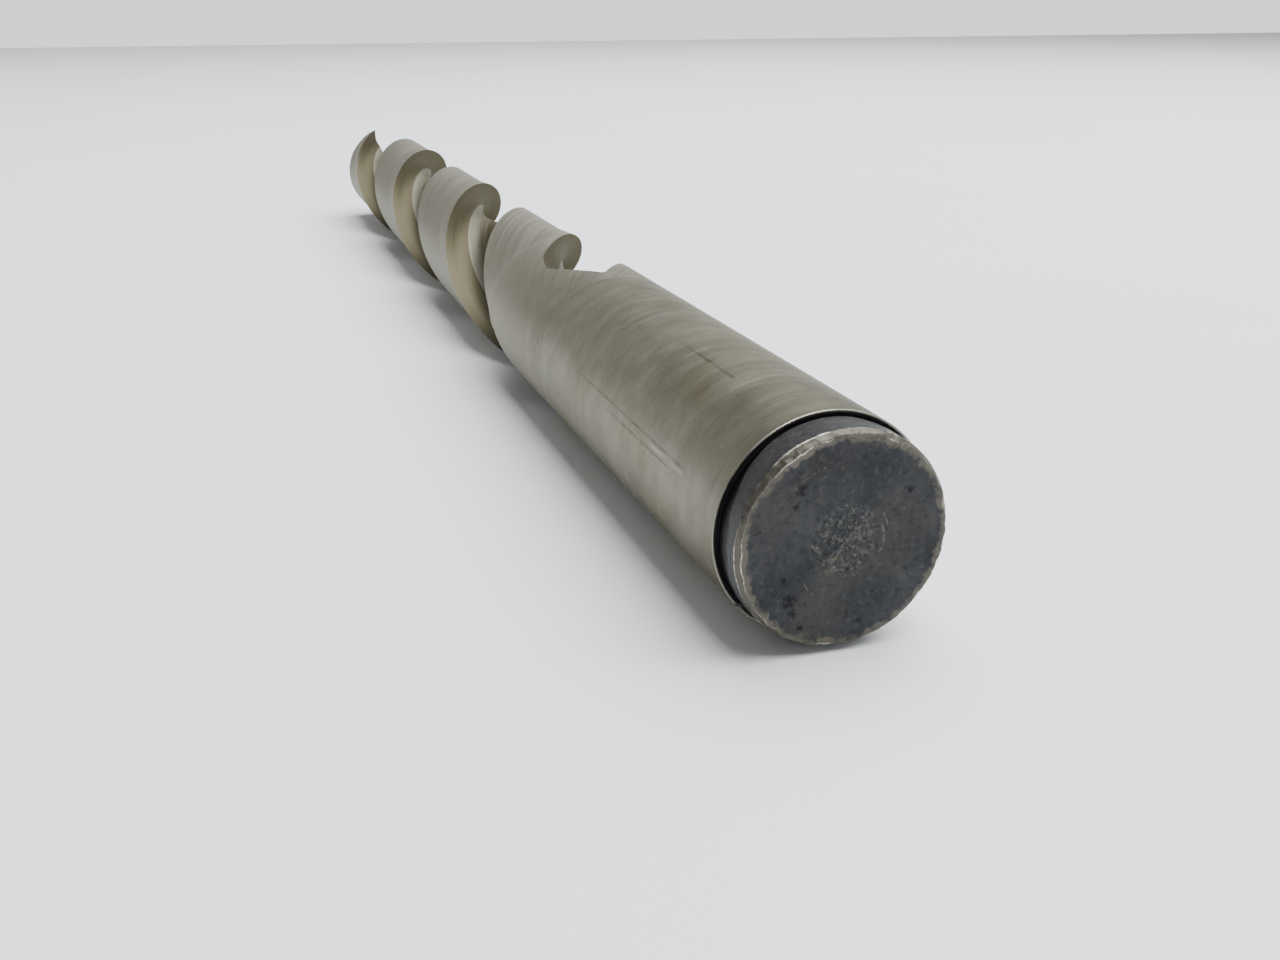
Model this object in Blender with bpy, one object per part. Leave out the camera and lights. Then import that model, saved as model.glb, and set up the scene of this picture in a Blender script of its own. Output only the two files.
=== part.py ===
"""Long two-flute end mill, half inch: fluted cutter, ground shank and black shank end.

Frame: metres. +X runs along the tool axis from the shank end to the cutting tip, +Z is up,
and the origin is the centre of the flat shank end face. Both flutes are right-hand helices,
and the tool cuts when it turns clockwise, seen from the shank.

The cutter is lofted through cross-sections. In a cross-section, u points from the axis to the
cutting edge of the first tooth, and v points into the flute in front of that edge.
"""
import math

import bmesh
import bpy
from mathutils import Matrix, Vector

MM = 0.001
INCH = 25.4 * MM

# Bar
DIAMETER = 0.5 * INCH
RADIUS = DIAMETER / 2
OVERALL_LENGTH = 6.125 * INCH
SHANK_END_LENGTH = 2.45 * MM
SHANK_END_RADIUS = 0.955 * RADIUS
END_FACE_RADIUS = 0.918 * RADIUS
END_BEVEL_LENGTH = 0.35 * MM
SHANK_RIM_BEVEL = 0.1 * MM
CUTTER_START_X = 37.5 * MM
GAP = 0.3 * MM

# Flutes
HELIX_ANGLE = math.radians(30.0)
LEAD = math.pi * DIAMETER / math.tan(HELIX_ANGLE)
TIP_EDGE_ANGLE = math.radians(76.5)
RAKE_ANGLE = math.radians(12.0)
FLUTE_OPENING = math.radians(86.0)
RAKE_STRAIGHT = 0.15 * RADIUS
FLOOR_RADIUS = 0.38 * RADIUS

# Run-out: where the wheel stopped, its radius, and the direction in which it left the bar
FULL_DEPTH_X = 53.5 * MM
WHEEL_RADIUS = 25.0 * MM
WHEEL_ANGLE = math.radians(20.0)
WHEEL_MARGIN = 0.5 * MM

# Relief ground behind each cutting edge: how far back it reaches and how deep it drops
PRIMARY_WIDTH = math.radians(7.0)
PRIMARY_DROP = 0.012 * RADIUS
SECONDARY_WIDTH = math.radians(26.0)
SECONDARY_DROP = 0.045 * RADIUS
RELIEF_FADE = 3.0 * MM

# End teeth
END_PRIMARY = math.radians(7.0)
END_SECONDARY = math.radians(18.0)
END_PRIMARY_WIDTH = 0.2 * RADIUS
GASH_START = 0.08 * RADIUS
GASH_SLOPE = math.radians(40.0)
GASH_RISE = math.radians(30.0)
EDGE_TRIM = 0.05 * MM
TIP_STOCK = 0.6 * MM

# Mesh density
ROUND_SIDES = 72
FLUTE_STEPS = 14
LAND_STEPS = (6, 2, 1)
RUNOUT_STEP = 0.9 * MM
BODY_STEP = 1.9 * MM
SEARCH_REACH = 1.2 * RADIUS
SEARCH_STEPS = 150
CLOSED_WIDTH = math.radians(6.0)
SHARP_ANGLE = math.radians(30.0)


def clear_scene():
    for obj in list(bpy.data.objects):
        bpy.data.objects.remove(obj, do_unlink=True)


def make_material(name, color, metallic, roughness):
    material = bpy.data.materials.new(name)
    material.use_nodes = True
    shader = material.node_tree.nodes["Principled BSDF"]
    shader.inputs["Base Color"].default_value = (*color, 1.0)
    shader.inputs["Metallic"].default_value = metallic
    shader.inputs["Roughness"].default_value = roughness
    return material


def add_object(name, shape, material=None):
    """Turn a bmesh into a named object with outward faces, smooth except at sharp edges."""
    shape.normal_update()
    bmesh.ops.recalc_face_normals(shape, faces=shape.faces)
    mesh = bpy.data.meshes.new(name)
    shape.to_mesh(mesh)
    shape.free()
    mesh.shade_smooth()
    mesh.set_sharp_from_angle(angle=SHARP_ANGLE)
    if material is not None:
        mesh.materials.append(material)
    obj = bpy.data.objects.new(name, mesh)
    bpy.context.scene.collection.objects.link(obj)
    return obj


def loft(rings):
    """Closed bmesh through rings of equally many points, with a face across each end."""
    shape = bmesh.new()
    loops = [[shape.verts.new(point) for point in ring] for ring in rings]
    count = len(loops[0])
    for near, far in zip(loops, loops[1:]):
        for i in range(count):
            j = (i + 1) % count
            shape.faces.new((near[i], near[j], far[j], far[i]))
    shape.faces.new(loops[0])
    shape.faces.new(loops[-1])
    return shape


def axial_point(x, radius, angle):
    """Point at a distance along the tool axis, with its angle counted from +Y towards +Z."""
    return Vector((x, radius * math.cos(angle), radius * math.sin(angle)))


def turned_bar(name, profile, material):
    """Round bar through a profile of (x, radius) steps."""
    turns = [2 * math.pi * (side + 0.5) / ROUND_SIDES for side in range(ROUND_SIDES)]
    rings = [[axial_point(x, radius, turn) for turn in turns] for x, radius in profile]
    return add_object(name, loft(rings), material)


# --- Flute channel: straight rake face, round floor, straight back rising to the heel ---

def unit(angle):
    return Vector((math.cos(angle), math.sin(angle)))


def left_of(direction):
    return Vector((-direction.y, direction.x))


def channel_shape():
    """Centre and ends of the floor arc, the outward directions of both walls, back wall length."""
    rake_out = unit(RAKE_ANGLE)
    foot = RADIUS * unit(0.0) - RAKE_STRAIGHT * rake_out
    centre = foot + FLOOR_RADIUS * left_of(rake_out)
    heel = (RADIUS - SECONDARY_DROP) * unit(FLUTE_OPENING)
    from_centre = heel - centre
    tangent_turn = math.asin(FLOOR_RADIUS / from_centre.length)
    back_angle = math.atan2(from_centre.y, from_centre.x) - tangent_turn
    back_out = unit(back_angle)
    arc_start = RAKE_ANGLE - math.pi / 2
    arc_end = back_angle + math.pi / 2
    arc_turn = (arc_start - arc_end) % (2 * math.pi)
    back_length = math.sqrt(from_centre.length_squared - FLOOR_RADIUS ** 2)
    return centre, arc_start, arc_turn, rake_out, back_out, back_length


CENTRE, ARC_START, ARC_TURN, RAKE_OUT, BACK_OUT, BACK_LENGTH = channel_shape()
ARC_LENGTH = ARC_TURN * FLOOR_RADIUS
WHEEL_EDGE = ARC_LENGTH + BACK_LENGTH + WHEEL_MARGIN


def channel_point(along):
    """Point of the full-depth channel at a distance past the foot of the rake face.

    Past the wheel's edge, the points go up the wheel's flat side.
    """
    on_arc = min(max(along, 0.0), ARC_LENGTH)
    point = CENTRE + FLOOR_RADIUS * unit(ARC_START - on_arc / FLOOR_RADIUS)
    if along < 0.0:
        point = point - along * RAKE_OUT
    if along > ARC_LENGTH:
        point = point + (min(along, WHEEL_EDGE) - ARC_LENGTH) * BACK_OUT
    if along > WHEEL_EDGE:
        point = point + (along - WHEEL_EDGE) * unit(WHEEL_ANGLE)
    return point


def ground_point(along, x):
    """The same point as ground at x, where the wheel's last position shapes the run-out.

    The wheel is a disc tilted by the helix angle. It stops at the full depth and leaves
    outwards, so each point of its profile leaves a circle about the wheel's centre.
    """
    point = channel_point(along)
    travel = FULL_DEPTH_X - x
    if travel <= 0.0:
        return point
    outwards = unit(WHEEL_ANGLE)
    sideways = left_of(outwards)
    offset = point.dot(sideways) * math.cos(HELIX_ANGLE)
    centre_height = WHEEL_RADIUS + CENTRE.dot(outwards) - FLOOR_RADIUS
    reach = math.hypot(centre_height - point.dot(outwards), offset * math.tan(HELIX_ANGLE))
    ahead = (travel - offset * math.sin(HELIX_ANGLE)) / math.cos(HELIX_ANGLE)
    height = centre_height - math.sqrt(max(reach ** 2 - ahead ** 2, 0.0))
    side = offset * math.cos(HELIX_ANGLE) - ahead * math.sin(HELIX_ANGLE)
    twist = Matrix.Rotation(2 * math.pi * travel / LEAD, 2)
    return twist @ (height * outwards + side * sideways)


def deepest_along(x):
    """Distance along the channel to its point nearest the tool axis."""
    start = -SEARCH_REACH
    step = (ARC_LENGTH + 2 * SEARCH_REACH) / SEARCH_STEPS
    places = [start + step * i for i in range(SEARCH_STEPS + 1)]
    return min(places, key=lambda along: ground_point(along, x).length)


def crossing(inside, outside, x, radius):
    """Distance along the channel where it meets a circle about the tool axis."""
    for _ in range(50):
        middle = (inside + outside) / 2
        if ground_point(middle, x).length < radius:
            inside = middle
        else:
            outside = middle
    return (inside + outside) / 2


# --- Cross-sections ---

def relief_share(x):
    """0 on the round shank side, 1 where the land is fully relieved."""
    share = min(max((x - FULL_DEPTH_X) / RELIEF_FADE, 0.0), 1.0)
    return share * share * (3.0 - 2.0 * share)


def relief_drop(behind):
    """Drop of the relieved land at an angle behind the cutting edge."""
    if behind < PRIMARY_WIDTH:
        return PRIMARY_DROP * behind / PRIMARY_WIDTH
    if behind < SECONDARY_WIDTH:
        share = (behind - PRIMARY_WIDTH) / (SECONDARY_WIDTH - PRIMARY_WIDTH)
        return PRIMARY_DROP + (SECONDARY_DROP - PRIMARY_DROP) * share
    return SECONDARY_DROP


def flute_points(x):
    """Flute outline from the cutting edge to the heel; a short arc where it has run out."""
    deepest = deepest_along(x)
    shares = [step / FLUTE_STEPS for step in range(FLUTE_STEPS + 1)]
    open_angle = 0.0
    if ground_point(deepest, x).length < RADIUS:
        heel_radius = RADIUS - relief_share(x) * SECONDARY_DROP
        edge = crossing(deepest, -2 * RADIUS, x, RADIUS)
        heel = crossing(deepest, ARC_LENGTH + 2 * RADIUS, x, heel_radius)
        points = [ground_point(edge + (heel - edge) * share, x) for share in shares]
        open_angle = points[0].angle(points[-1])
    if open_angle < CLOSED_WIDTH:
        middle = ground_point(deepest, x)
        first = math.atan2(middle.y, middle.x) - CLOSED_WIDTH / 2
        points = [RADIUS * unit(first + CLOSED_WIDTH * share) for share in shares]
    return points


def land_points(x, heel, edge):
    """Land from one tooth's heel round to the cutting edge of the tooth behind the flute."""
    heel_angle = math.atan2(heel.y, heel.x)
    edge_angle = math.atan2(edge.y, edge.x) + math.pi
    stops = (edge_angle - heel_angle, SECONDARY_WIDTH, PRIMARY_WIDTH, 0.0)
    points = []
    for start, stop, steps in zip(stops, stops[1:], LAND_STEPS):
        for step in range(steps):
            behind = start + (stop - start) * step / steps
            radius = RADIUS - relief_share(x) * relief_drop(behind)
            points.append(radius * unit(edge_angle - behind))
    return points[1:]


def section_ring(x):
    """Whole cross-section at x, turned to its place on the helix."""
    flute = flute_points(x)
    half = flute + land_points(x, flute[-1], flute[0])
    outline = half + [-point for point in half]
    edge_angle = TIP_EDGE_ANGLE + 2 * math.pi * (x - OVERALL_LENGTH) / LEAD
    return [axial_point(x, p.length, math.atan2(p.y, p.x) + edge_angle) for p in outline]


def stations():
    """Positions of the cross-sections, closer together along the run-out."""
    tip = OVERALL_LENGTH + TIP_STOCK
    near_count = round((FULL_DEPTH_X - CUTTER_START_X) / RUNOUT_STEP)
    far_count = round((tip - FULL_DEPTH_X) / BODY_STEP)
    near_step = (FULL_DEPTH_X - CUTTER_START_X) / near_count
    far_step = (tip - FULL_DEPTH_X) / far_count
    near = [CUTTER_START_X + near_step * i for i in range(near_count)]
    return near + [FULL_DEPTH_X + far_step * i for i in range(far_count + 1)]


# --- End teeth ---

def tip_matrix(tooth):
    """Places (x, u, v) of a tooth's cross-section at the tip into the tool frame."""
    turn = Matrix.Rotation(TIP_EDGE_ANGLE + math.pi * tooth, 4, "X")
    return Matrix.Translation((OVERALL_LENGTH, 0.0, 0.0)) @ turn


def trim_behind_edge(shape, tooth, start, slope):
    """Cut off the stock above a plane that falls away behind an end cutting edge."""
    place = tip_matrix(tooth)
    point = place @ Vector((-start * math.tan(END_PRIMARY), 0.0, -start))
    normal = place.to_3x3() @ Vector((math.cos(slope), 0.0, -math.sin(slope)))
    geometry = shape.verts[:] + shape.edges[:] + shape.faces[:]
    bmesh.ops.bisect_plane(
        shape, geom=geometry, plane_co=point, plane_no=normal, clear_outer=True
    )
    rim = [edge for edge in shape.edges if edge.is_boundary]
    bmesh.ops.contextual_create(shape, geom=rim)


def gash_cutter(tooth):
    """Notch in front of an end cutting edge, which opens the middle into the flute."""
    length = 1.6 * RADIUS
    height = 1.4 * RADIUS
    corner = Vector((0.0, -GASH_START, -EDGE_TRIM))
    outwards = Vector((-length * math.tan(GASH_SLOPE), length, 0.0))
    forwards = Vector((height * math.tan(GASH_RISE), 0.0, height))
    upwards = Vector((3 * RADIUS, 0.0, 0.0))
    block = bmesh.new()
    bmesh.ops.create_cube(block, size=1.0)
    for vertex in block.verts:
        out, forward, up = (value + 0.5 for value in vertex.co)
        vertex.co = tip_matrix(tooth) @ (corner + out * outwards + forward * forwards + up * upwards)
    cutter = add_object(f"gash_cutter_{tooth + 1}", block)
    cutter.hide_render = True
    cutter.display_type = "WIRE"
    return cutter


def cut(target, cutter):
    modifier = target.modifiers.new(cutter.name, "BOOLEAN")
    modifier.operation = "DIFFERENCE"
    modifier.solver = "EXACT"
    modifier.object = cutter


def fluted_cutter(material):
    shape = loft([section_ring(x) for x in stations()])
    for tooth in range(2):
        trim_behind_edge(shape, tooth, 0.0, END_PRIMARY)
        trim_behind_edge(shape, tooth, END_PRIMARY_WIDTH, END_SECONDARY)
    cutter = add_object("fluted_cutter", shape, material)
    for tooth in range(2):
        cut(cutter, gash_cutter(tooth))
    return cutter


# --- Round bar ahead of the flutes ---

def ground_shank(material):
    start = SHANK_END_LENGTH + GAP
    stop = CUTTER_START_X - GAP
    profile = (
        (start, RADIUS - SHANK_RIM_BEVEL),
        (start + SHANK_RIM_BEVEL, RADIUS),
        (stop, RADIUS),
    )
    return turned_bar("ground_shank", profile, material)


def shank_end(material):
    profile = (
        (0.0, END_FACE_RADIUS),
        (END_BEVEL_LENGTH, SHANK_END_RADIUS),
        (SHANK_END_LENGTH, SHANK_END_RADIUS),
    )
    return turned_bar("shank_end", profile, material)


def main():
    clear_scene()
    tool = bpy.data.objects.new("end_mill", None)
    bpy.context.scene.collection.objects.link(tool)
    pieces = (
        fluted_cutter(make_material("ground_flutes", (0.50, 0.47, 0.40), 1.0, 0.35)),
        ground_shank(make_material("ground_steel", (0.50, 0.48, 0.45), 1.0, 0.3)),
        shank_end(make_material("black_scale", (0.05, 0.055, 0.065), 0.6, 0.5)),
    )
    for piece in pieces:
        piece.parent = tool


main()
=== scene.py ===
"""Looks of the long two-flute end mill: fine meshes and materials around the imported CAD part.

The tool lies along +X with its black shank end at X = 0, and the floor is one radius below it.
Angles round the tool are counted from +Y towards +Z, and clock() turns the angle that somebody
sees who looks at the shank end (from the right-hand side, counter-clockwise) into that angle.
"""
import math

import bmesh
import bpy
from mathutils import Matrix, Vector, noise


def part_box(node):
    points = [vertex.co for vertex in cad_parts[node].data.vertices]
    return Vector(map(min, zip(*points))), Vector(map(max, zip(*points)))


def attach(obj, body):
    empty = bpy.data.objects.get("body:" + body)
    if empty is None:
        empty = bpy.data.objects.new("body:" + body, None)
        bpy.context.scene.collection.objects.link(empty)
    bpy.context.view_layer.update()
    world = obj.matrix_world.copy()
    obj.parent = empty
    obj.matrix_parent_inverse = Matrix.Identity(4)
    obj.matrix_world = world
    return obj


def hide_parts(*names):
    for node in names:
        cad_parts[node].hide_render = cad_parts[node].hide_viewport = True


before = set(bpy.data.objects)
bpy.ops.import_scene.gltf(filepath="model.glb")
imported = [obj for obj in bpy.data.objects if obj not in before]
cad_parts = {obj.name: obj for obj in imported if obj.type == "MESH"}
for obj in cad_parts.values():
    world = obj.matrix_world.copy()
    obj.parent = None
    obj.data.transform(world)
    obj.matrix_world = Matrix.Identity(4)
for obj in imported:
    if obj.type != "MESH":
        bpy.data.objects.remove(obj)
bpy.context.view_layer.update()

MM = 0.001

# --- Lengths: where the regions of the bar meet comes from the CAD nodes ---
END_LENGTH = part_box("shank_end")[1].x
JOINT_X = (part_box("ground_shank")[1].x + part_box("fluted_cutter")[0].x) / 2
OVERALL_LENGTH = 155.575 * MM

# --- Radii ---
RADIUS = 6.35 * MM
END_RADIUS = 0.955 * RADIUS
FACE_RADIUS = 0.918 * RADIUS
FLOOR_Z = -RADIUS

# --- Flutes: the same form as in the CAD part ---
HELIX_ANGLE = math.radians(30.0)
LEAD = 2 * math.pi * RADIUS / math.tan(HELIX_ANGLE)
TIP_EDGE_ANGLE = math.radians(76.5)
RAKE_ANGLE = math.radians(12.0)
FLUTE_OPENING = math.radians(86.0)
RAKE_STRAIGHT = 0.15 * RADIUS
FLOOR_RADIUS = 0.38 * RADIUS
FULL_DEPTH_X = 53.5 * MM
WHEEL_RADIUS = 25.0 * MM
WHEEL_ANGLE = math.radians(20.0)
WHEEL_MARGIN = 0.5 * MM
PRIMARY_WIDTH = math.radians(7.0)
PRIMARY_DROP = 0.012 * RADIUS
SECONDARY_WIDTH = math.radians(26.0)
SECONDARY_DROP = 0.045 * RADIUS
RELIEF_FADE = 3.0 * MM
END_PRIMARY = math.radians(7.0)
END_SECONDARY = math.radians(18.0)
END_PRIMARY_WIDTH = 0.2 * RADIUS
GASH_START = 0.08 * RADIUS
GASH_SLOPE = math.radians(40.0)
GASH_RISE = math.radians(30.0)
EDGE_TRIM = 0.05 * MM
TIP_STOCK = 0.6 * MM
GASH_LENGTH = 1.6 * RADIUS
GASH_HEIGHT = 1.4 * RADIUS
GASH_TOP = 3.0 * RADIUS
TIP_REACH = 1.2 * RADIUS

# --- Mesh density ---
FLUTE_STEPS = 40
LAND_STEPS = (22, 6, 4)
RUNOUT_STEP = 0.25 * MM
BODY_STEP = 0.45 * MM
SEARCH_REACH = 1.2 * RADIUS
SEARCH_STEPS = 150
HALVINGS = 50
CLOSED_WIDTH = math.radians(4.0)
ROUND_SIDES = 288
BAR_STEPS = 24
END_SIDES = 420
SIDE_STEPS = 40
RIM_STEPS = 14
FACE_STEPS = 96
SHARP_ANGLE = math.radians(28.0)


def clock(degrees):
    return math.pi - math.radians(degrees)


def axial_point(x, radius, angle):
    return Vector((x, radius * math.cos(angle), radius * math.sin(angle)))


def smoothstep(low, high, value):
    share = min(max((value - low) / (high - low), 0.0), 1.0)
    return share * share * (3.0 - 2.0 * share)


def angle_gap(first, second):
    """Smallest angle between two directions round the tool."""
    return abs((first - second + math.pi) % (2 * math.pi) - math.pi)


def rough(point, size, octaves=3, seed=0.0):
    """Fractal noise of about -1..1 with features of the given size."""
    place = point / size + Vector((seed, seed * 1.7, -seed))
    return noise.fractal(place, 1.0, 2.0, octaves, noise_basis="PERLIN_ORIGINAL")


def loft(rings):
    """Closed bmesh through rings of equally many points, with a face across each end."""
    shape = bmesh.new()
    loops = [[shape.verts.new(point) for point in ring] for ring in rings]
    count = len(loops[0])
    for near, far in zip(loops, loops[1:]):
        for i in range(count):
            j = (i + 1) % count
            shape.faces.new((near[i], near[j], far[j], far[i]))
    shape.faces.new(loops[0])
    shape.faces.new(loops[-1])
    return shape


def mesh_object(name, shape):
    shape.normal_update()
    bmesh.ops.recalc_face_normals(shape, faces=shape.faces)
    mesh = bpy.data.meshes.new(name)
    shape.to_mesh(mesh)
    shape.free()
    obj = bpy.data.objects.new(name, mesh)
    bpy.context.scene.collection.objects.link(obj)
    return obj


def shade(obj):
    obj.data.shade_smooth()
    obj.data.set_sharp_from_angle(angle=SHARP_ANGLE)


def store(obj, name, values):
    """Keep one number per vertex for the materials to read."""
    layer = obj.data.attributes.new(name, "FLOAT", "POINT")
    layer.data.foreach_set("value", values)


# =========================================================================================
# Fluted cutter
# =========================================================================================

def unit(angle):
    return Vector((math.cos(angle), math.sin(angle)))


def left_of(direction):
    return Vector((-direction.y, direction.x))


def channel_shape():
    """Centre and ends of the floor arc, the outward directions of both walls, back wall length."""
    rake_out = unit(RAKE_ANGLE)
    foot = RADIUS * unit(0.0) - RAKE_STRAIGHT * rake_out
    centre = foot + FLOOR_RADIUS * left_of(rake_out)
    heel = (RADIUS - SECONDARY_DROP) * unit(FLUTE_OPENING)
    from_centre = heel - centre
    tangent_turn = math.asin(FLOOR_RADIUS / from_centre.length)
    back_angle = math.atan2(from_centre.y, from_centre.x) - tangent_turn
    arc_start = RAKE_ANGLE - math.pi / 2
    arc_turn = (arc_start - back_angle - math.pi / 2) % (2 * math.pi)
    back_length = math.sqrt(from_centre.length_squared - FLOOR_RADIUS ** 2)
    return centre, arc_start, arc_turn, rake_out, unit(back_angle), back_length


CENTRE, ARC_START, ARC_TURN, RAKE_OUT, BACK_OUT, BACK_LENGTH = channel_shape()
ARC_LENGTH = ARC_TURN * FLOOR_RADIUS
WHEEL_EDGE = ARC_LENGTH + BACK_LENGTH + WHEEL_MARGIN


def channel_point(along):
    """Point of the full-depth channel at a distance past the foot of the rake face.

    Past the wheel's edge, the points go up the wheel's flat side.
    """
    on_arc = min(max(along, 0.0), ARC_LENGTH)
    point = CENTRE + FLOOR_RADIUS * unit(ARC_START - on_arc / FLOOR_RADIUS)
    if along < 0.0:
        point = point - along * RAKE_OUT
    if along > ARC_LENGTH:
        point = point + (min(along, WHEEL_EDGE) - ARC_LENGTH) * BACK_OUT
    if along > WHEEL_EDGE:
        point = point + (along - WHEEL_EDGE) * unit(WHEEL_ANGLE)
    return point


def ground_point(along, x):
    """The same point as ground at x, where the wheel's last position shapes the run-out.

    The wheel is a disc tilted by the helix angle. It stops at the full depth and leaves
    outwards, so each point of its profile leaves a circle about the wheel's centre.
    """
    point = channel_point(along)
    travel = FULL_DEPTH_X - x
    if travel <= 0.0:
        return point
    outwards = unit(WHEEL_ANGLE)
    sideways = left_of(outwards)
    offset = point.dot(sideways) * math.cos(HELIX_ANGLE)
    centre_height = WHEEL_RADIUS + CENTRE.dot(outwards) - FLOOR_RADIUS
    reach = math.hypot(centre_height - point.dot(outwards), offset * math.tan(HELIX_ANGLE))
    ahead = (travel - offset * math.sin(HELIX_ANGLE)) / math.cos(HELIX_ANGLE)
    height = centre_height - math.sqrt(max(reach ** 2 - ahead ** 2, 0.0))
    side = offset * math.cos(HELIX_ANGLE) - ahead * math.sin(HELIX_ANGLE)
    twist = Matrix.Rotation(2 * math.pi * travel / LEAD, 2)
    return twist @ (height * outwards + side * sideways)


def deepest_along(x):
    """Distance along the channel to its point nearest the tool axis."""
    start = -SEARCH_REACH
    step = (ARC_LENGTH + 2 * SEARCH_REACH) / SEARCH_STEPS
    places = [start + step * i for i in range(SEARCH_STEPS + 1)]
    return min(places, key=lambda along: ground_point(along, x).length)


def crossing(inside, outside, x, radius):
    """Distance along the channel where it meets a circle about the tool axis."""
    for _ in range(HALVINGS):
        middle = (inside + outside) / 2
        if ground_point(middle, x).length < radius:
            inside = middle
        else:
            outside = middle
    return (inside + outside) / 2


def relief_share(x):
    return smoothstep(FULL_DEPTH_X, FULL_DEPTH_X + RELIEF_FADE, x)


def relief_drop(behind):
    if behind < PRIMARY_WIDTH:
        return PRIMARY_DROP * behind / PRIMARY_WIDTH
    if behind < SECONDARY_WIDTH:
        share = (behind - PRIMARY_WIDTH) / (SECONDARY_WIDTH - PRIMARY_WIDTH)
        return PRIMARY_DROP + (SECONDARY_DROP - PRIMARY_DROP) * share
    return SECONDARY_DROP


def flute_points(x):
    deepest = deepest_along(x)
    shares = [step / FLUTE_STEPS for step in range(FLUTE_STEPS + 1)]
    open_angle = 0.0
    if ground_point(deepest, x).length < RADIUS:
        heel_radius = RADIUS - relief_share(x) * SECONDARY_DROP
        edge = crossing(deepest, -2 * RADIUS, x, RADIUS)
        heel = crossing(deepest, ARC_LENGTH + 2 * RADIUS, x, heel_radius)
        points = [ground_point(edge + (heel - edge) * share, x) for share in shares]
        open_angle = points[0].angle(points[-1])
    if open_angle < CLOSED_WIDTH:
        middle = ground_point(deepest, x)
        first = math.atan2(middle.y, middle.x) - CLOSED_WIDTH / 2
        points = [RADIUS * unit(first + CLOSED_WIDTH * share) for share in shares]
    return points


def land_points(x, heel, edge):
    heel_angle = math.atan2(heel.y, heel.x)
    edge_angle = math.atan2(edge.y, edge.x) + math.pi
    stops = (edge_angle - heel_angle, SECONDARY_WIDTH, PRIMARY_WIDTH, 0.0)
    points = []
    for start, stop, steps in zip(stops, stops[1:], LAND_STEPS):
        for step in range(steps):
            behind = start + (stop - start) * step / steps
            radius = RADIUS - relief_share(x) * relief_drop(behind)
            points.append(radius * unit(edge_angle - behind))
    return points[1:]


def edge_angle_at(x):
    return TIP_EDGE_ANGLE + 2 * math.pi * (x - OVERALL_LENGTH) / LEAD


def section_ring(x):
    flute = flute_points(x)
    half = flute + land_points(x, flute[-1], flute[0])
    outline = half + [-point for point in half]
    turn = edge_angle_at(x)
    return [axial_point(x, p.length, math.atan2(p.y, p.x) + turn) for p in outline]


def stations():
    tip = OVERALL_LENGTH + TIP_STOCK
    near_count = round((FULL_DEPTH_X - JOINT_X) / RUNOUT_STEP)
    far_count = round((tip - FULL_DEPTH_X) / BODY_STEP)
    near_step = (FULL_DEPTH_X - JOINT_X) / near_count
    far_step = (tip - FULL_DEPTH_X) / far_count
    near = [JOINT_X + near_step * i for i in range(near_count)]
    return near + [FULL_DEPTH_X + far_step * i for i in range(far_count + 1)]


def tip_matrix(tooth):
    turn = Matrix.Rotation(TIP_EDGE_ANGLE + math.pi * tooth, 4, "X")
    return Matrix.Translation((OVERALL_LENGTH, 0.0, 0.0)) @ turn


def trim_behind_edge(shape, tooth, start, slope):
    place = tip_matrix(tooth)
    point = place @ Vector((-start * math.tan(END_PRIMARY), 0.0, -start))
    normal = place.to_3x3() @ Vector((math.cos(slope), 0.0, -math.sin(slope)))
    geometry = shape.verts[:] + shape.edges[:] + shape.faces[:]
    bmesh.ops.bisect_plane(
        shape, geom=geometry, plane_co=point, plane_no=normal, clear_outer=True
    )
    rim = [edge for edge in shape.edges if edge.is_boundary]
    bmesh.ops.contextual_create(shape, geom=rim)


def gash_block(tooth):
    corner = Vector((0.0, -GASH_START, -EDGE_TRIM))
    outwards = Vector((-GASH_LENGTH * math.tan(GASH_SLOPE), GASH_LENGTH, 0.0))
    forwards = Vector((GASH_HEIGHT * math.tan(GASH_RISE), 0.0, GASH_HEIGHT))
    upwards = Vector((GASH_TOP, 0.0, 0.0))
    block = bmesh.new()
    bmesh.ops.create_cube(block, size=1.0)
    for vertex in block.verts:
        out, forward, up = (value + 0.5 for value in vertex.co)
        place = corner + out * outwards + forward * forwards + up * upwards
        vertex.co = tip_matrix(tooth) @ place
    return mesh_object(f"gash_{tooth}", block)


def apply_modifiers(obj):
    """Replace the object's mesh by its evaluated mesh."""
    graph = bpy.context.evaluated_depsgraph_get()
    mesh = bpy.data.meshes.new_from_object(obj.evaluated_get(graph))
    obj.modifiers.clear()
    obj.data = mesh


def cut(target, cutter):
    modifier = target.modifiers.new("cut", "BOOLEAN")
    modifier.operation = "DIFFERENCE"
    modifier.solver = "EXACT"
    modifier.object = cutter
    apply_modifiers(target)
    bpy.data.objects.remove(cutter, do_unlink=True)


def untwisted(point):
    """The place of a point in the cutter's own cross-section: (x, u, v)."""
    turned = Matrix.Rotation(-edge_angle_at(point.x), 3, "X") @ point
    return Vector((point.x, turned.y, turned.z))


LAND, FLUTE, END_GRIND = range(3)


def face_zone(centre, normal):
    """Which of the three ground surfaces of the cutter a face lies on."""
    radius = math.hypot(centre.y, centre.z)
    near_tip = centre.x > OVERALL_LENGTH - TIP_REACH
    if near_tip and normal.x > 0.3:
        return END_GRIND
    outward = (centre.y * normal.y + centre.z * normal.z) / max(radius, MM / 100)
    on_land = radius > RADIUS - SECONDARY_DROP - 0.05 * MM and outward > 0.9
    return LAND if on_land else FLUTE


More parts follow.
